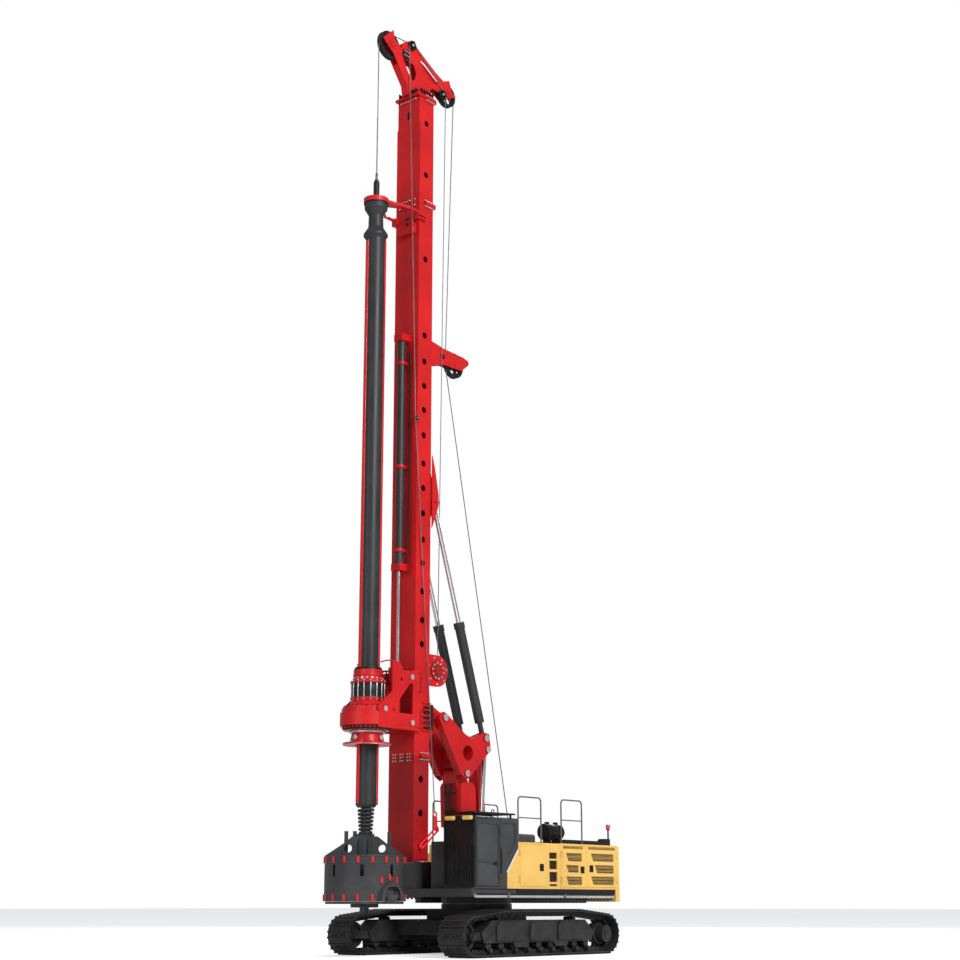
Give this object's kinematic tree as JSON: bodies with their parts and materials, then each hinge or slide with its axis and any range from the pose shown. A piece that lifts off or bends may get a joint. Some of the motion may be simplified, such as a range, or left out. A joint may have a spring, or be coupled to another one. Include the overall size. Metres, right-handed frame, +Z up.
{
  "type": "rotary piling rig",
  "caption": "Tracked rotary piling rig parked with its box mast upright, kelly bar, rotary drive and drilling bucket, and a cab beside the boom.",
  "frame": {"origin": "on the ground under the middle of the whole rig's box; the slewing axis is 0.412 m forward of it", "axes": "+X forward, towards the kelly bar; +Y to the operator's left, where the cab is; +Z up along the mast"},
  "size_m": [9.3222, 4.47, 24.4],
  "materials": {
    "undercarriage_paint": "semi-matt dark grey paint",
    "track_steel": "worn steel of the track shoes",
    "house_grey": "satin dark grey paint",
    "house_yellow": "gloss warm yellow paint",
    "rig_red": "gloss red paint",
    "kelly_dark": "dark grey paint over drawn tube",
    "chrome": "ground and chromed rod",
    "barrel_grey": "dark grey cylinder paint",
    "black_metal": "black paint",
    "tread_plate": "bare ribbed plate",
    "glass": "tinted safety glass",
    "rail_grey": "mid grey tube paint",
    "lamp": "lamp bodies",
    "seat": "dark seat fabric",
    "bucket_grey": "dark grey paint with wear"
  },
  "bodies": {
    "undercarriage": {"carbody": "undercarriage_paint", "track_frames": "undercarriage_paint", "idlers": "undercarriage_paint", "sprockets": "undercarriage_paint", "track_left": "track_steel", "track_right": "track_steel"},
    "upper": {"platform": "house_grey", "walkways": "tread_plate", "counterweight": "house_yellow", "engine_housing": "house_yellow", "engine_block": "black_metal", "muffler": "black_metal", "handrails": "rail_grey", "deck_boxes": "house_grey", "cabinets": "house_yellow", "main_winch_frame": "rig_red", "cab_shell": "house_grey", "cab_glass": "glass", "cab_seat": "seat", "cab_guard": "black_metal", "work_lamps": "lamp"},
    "cab_door": {"cab_door": "house_grey", "cab_door_glass": "glass"},
    "cabinet_door": {"cabinet_door": "house_yellow"},
    "housing_door_left_1": {"housing_door_left_1": "house_yellow"},
    "housing_door_left_2": {"housing_door_left_2": "house_yellow"},
    "housing_door_right_1": {"housing_door_right_1": "house_yellow"},
    "housing_door_right_2": {"housing_door_right_2": "house_yellow"},
    "main_drum": {"main_winch_drum": "rig_red"},
    "boom": {"boom": "rig_red"},
    "tie_link": {"tie_link": "rig_red"},
    "delta_frame": {"delta_frame": "rig_red"},
    "luff_barrels": {"luff_barrels": "barrel_grey"},
    "luff_rods": {"luff_rods": "chrome"},
    "mast_barrels": {"mast_barrels": "barrel_grey"},
    "mast_rods": {"mast_rods": "chrome"},
    "mast": {"mast_lower": "rig_red", "mast_middle": "rig_red", "mast_upper": "rig_red", "mast_head": "rig_red", "rope_guide": "rig_red", "crowd_barrel": "barrel_grey"},
    "sheave_front": {"sheave_front": "black_metal"},
    "sheave_rear": {"sheave_rear": "black_metal"},
    "sheave_aux": {"sheave_aux": "black_metal"},
    "sheave_guide": {"sheave_guide": "black_metal"},
    "aux_drum": {"aux_winch_drum": "rig_red"},
    "carriage": {"carriage": "rig_red", "crowd_rod": "chrome", "rotary_drive": "rig_red"},
    "drive_adapter": {"drive_adapter": "rig_red"},
    "kelly_guide": {"kelly_guide": "rig_red", "kelly_swivel": "kelly_dark"},
    "kelly": {"kelly_bar": "kelly_dark", "bucket": "bucket_grey"},
    "bucket_door": {"bucket_door": "bucket_grey"}
  },
  "joints": [
    {"name": "slew", "type": "hinge", "parent": "undercarriage", "child": "upper", "pos_m": [-0.412, 0, 1.236], "axis": [0, 0, 1], "continuous": true},
    {"name": "cab_door_swing", "type": "hinge", "parent": "upper", "child": "cab_door", "pos_m": [0.458, 1.524, 2.46], "axis": [0, 0, 1], "range_deg": [0, 75]},
    {"name": "cabinet_door_swing", "type": "hinge", "parent": "upper", "child": "cabinet_door", "pos_m": [-0.322, 1.524, 2.17], "axis": [0, 0, -1], "range_deg": [0, 100]},
    {"name": "door_left_1_swing", "type": "hinge", "parent": "upper", "child": "housing_door_left_1", "pos_m": [-2.042, 1.524, 2.17], "axis": [0, 0, -1], "range_deg": [0, 100]},
    {"name": "door_left_2_swing", "type": "hinge", "parent": "upper", "child": "housing_door_left_2", "pos_m": [-4.437, 1.524, 2.17], "axis": [0, 0, 1], "range_deg": [0, 100]},
    {"name": "door_right_1_swing", "type": "hinge", "parent": "upper", "child": "housing_door_right_1", "pos_m": [-2.042, -1.524, 2.17], "axis": [0, 0, 1], "range_deg": [0, 100]},
    {"name": "door_right_2_swing", "type": "hinge", "parent": "upper", "child": "housing_door_right_2", "pos_m": [-4.437, -1.524, 2.17], "axis": [0, 0, -1], "range_deg": [0, 100]},
    {"name": "main_drum_spin", "type": "hinge", "parent": "upper", "child": "main_drum", "pos_m": [-1.592, 0, 2.25], "axis": [0, 1, 0], "continuous": true},
    {"name": "boom_luff", "type": "hinge", "parent": "upper", "child": "boom", "pos_m": [0.288, 0, 1.95], "axis": [0, 1, 0], "range_deg": [-4, 12]},
    {"name": "tie_link_swing", "type": "hinge", "parent": "upper", "child": "tie_link", "pos_m": [-0.542, 0, 2.605], "axis": [0, 1, 0], "range_deg": [-4.08, 12.24]},
    {"name": "delta_level", "type": "hinge", "parent": "boom", "child": "delta_frame", "pos_m": [0.518, 0, 4.445], "axis": [0, 1, 0], "range_deg": [-12.24, 4.08]},
    {"name": "luff_barrel_swing", "type": "hinge", "parent": "upper", "child": "luff_barrels", "pos_m": [-0.082, 0, 2.06], "axis": [0, 1, 0], "range_deg": [-3.33, 10]},
    {"name": "luff_rod_stroke", "type": "slide", "parent": "luff_barrels", "child": "luff_rods", "axis": [-0.0754, 0, 0.9972], "range_m": [-0.0959, 0.032]},
    {"name": "mast_tilt", "type": "hinge", "parent": "delta_frame", "child": "mast", "pos_m": [1.368, 0, 5.787], "axis": [0, 1, 0], "range_deg": [-15, 5]},
    {"name": "mast_barrel_swing", "type": "hinge", "parent": "delta_frame", "child": "mast_barrels", "pos_m": [-0.242, 0, 5.385], "axis": [0, 1, 0], "range_deg": [-13.35, 4.45]},
    {"name": "mast_rod_stroke", "type": "slide", "parent": "mast_barrels", "child": "mast_rods", "axis": [0.3177, 0, 0.9482], "range_m": [-0.3896, 0.1299]},
    {"name": "sheave_front_spin", "type": "hinge", "parent": "mast", "child": "sheave_front", "pos_m": [3.308, 0, 23.9], "axis": [0, 1, 0], "continuous": true},
    {"name": "sheave_rear_spin", "type": "hinge", "parent": "mast", "child": "sheave_rear", "pos_m": [0.958, 0, 23.33], "axis": [0, 1, 0], "continuous": true},
    {"name": "sheave_aux_spin", "type": "hinge", "parent": "mast", "child": "sheave_aux", "pos_m": [2.518, 0, 24.18], "axis": [0, 1, 0], "continuous": true},
    {"name": "sheave_guide_spin", "type": "hinge", "parent": "mast", "child": "sheave_guide", "pos_m": [0.588, 0, 15.4], "axis": [0, 1, 0], "continuous": true},
    {"name": "aux_drum_spin", "type": "hinge", "parent": "mast", "child": "aux_drum", "pos_m": [1.563, 0, 6.95], "axis": [0, 1, 0], "continuous": true},
    {"name": "crowd", "type": "slide", "parent": "mast", "child": "carriage", "axis": [0, 0, 1], "range_m": [-1.85, 2.2]},
    {"name": "drive_spin", "type": "hinge", "parent": "carriage", "child": "drive_adapter", "pos_m": [3.688, 0, 5.12], "axis": [0, 0, 1], "continuous": true},
    {"name": "kelly_feed", "type": "slide", "parent": "mast", "child": "kelly_guide", "axis": [0, 0, 1], "range_m": [-2.8, 0.9]},
    {"name": "kelly_spin", "type": "hinge", "parent": "kelly_guide", "child": "kelly", "pos_m": [3.688, 0, 10], "axis": [0, 0, 1], "continuous": true},
    {"name": "bucket_door_drop", "type": "hinge", "parent": "kelly", "child": "bucket_door", "pos_m": [3.84991, 1.02226, 1.405], "axis": [0.9877, -0.1564, 0], "range_deg": [0, 70]}
  ],
  "couplings": [
    {"joint": "tie_link_swing", "follows": "boom_luff", "ratio": 1},
    {"joint": "delta_level", "follows": "boom_luff", "ratio": -1},
    {"joint": "luff_barrel_swing", "follows": "boom_luff", "ratio": 0.8169},
    {"joint": "luff_rod_stroke", "follows": "boom_luff", "m_per_rad": -0.44904},
    {"joint": "mast_barrel_swing", "follows": "mast_tilt", "ratio": 0.87226},
    {"joint": "mast_rod_stroke", "follows": "mast_tilt", "m_per_rad": 1.4591},
    {"joint": "kelly_spin", "follows": "drive_spin", "ratio": 1}
  ]
}
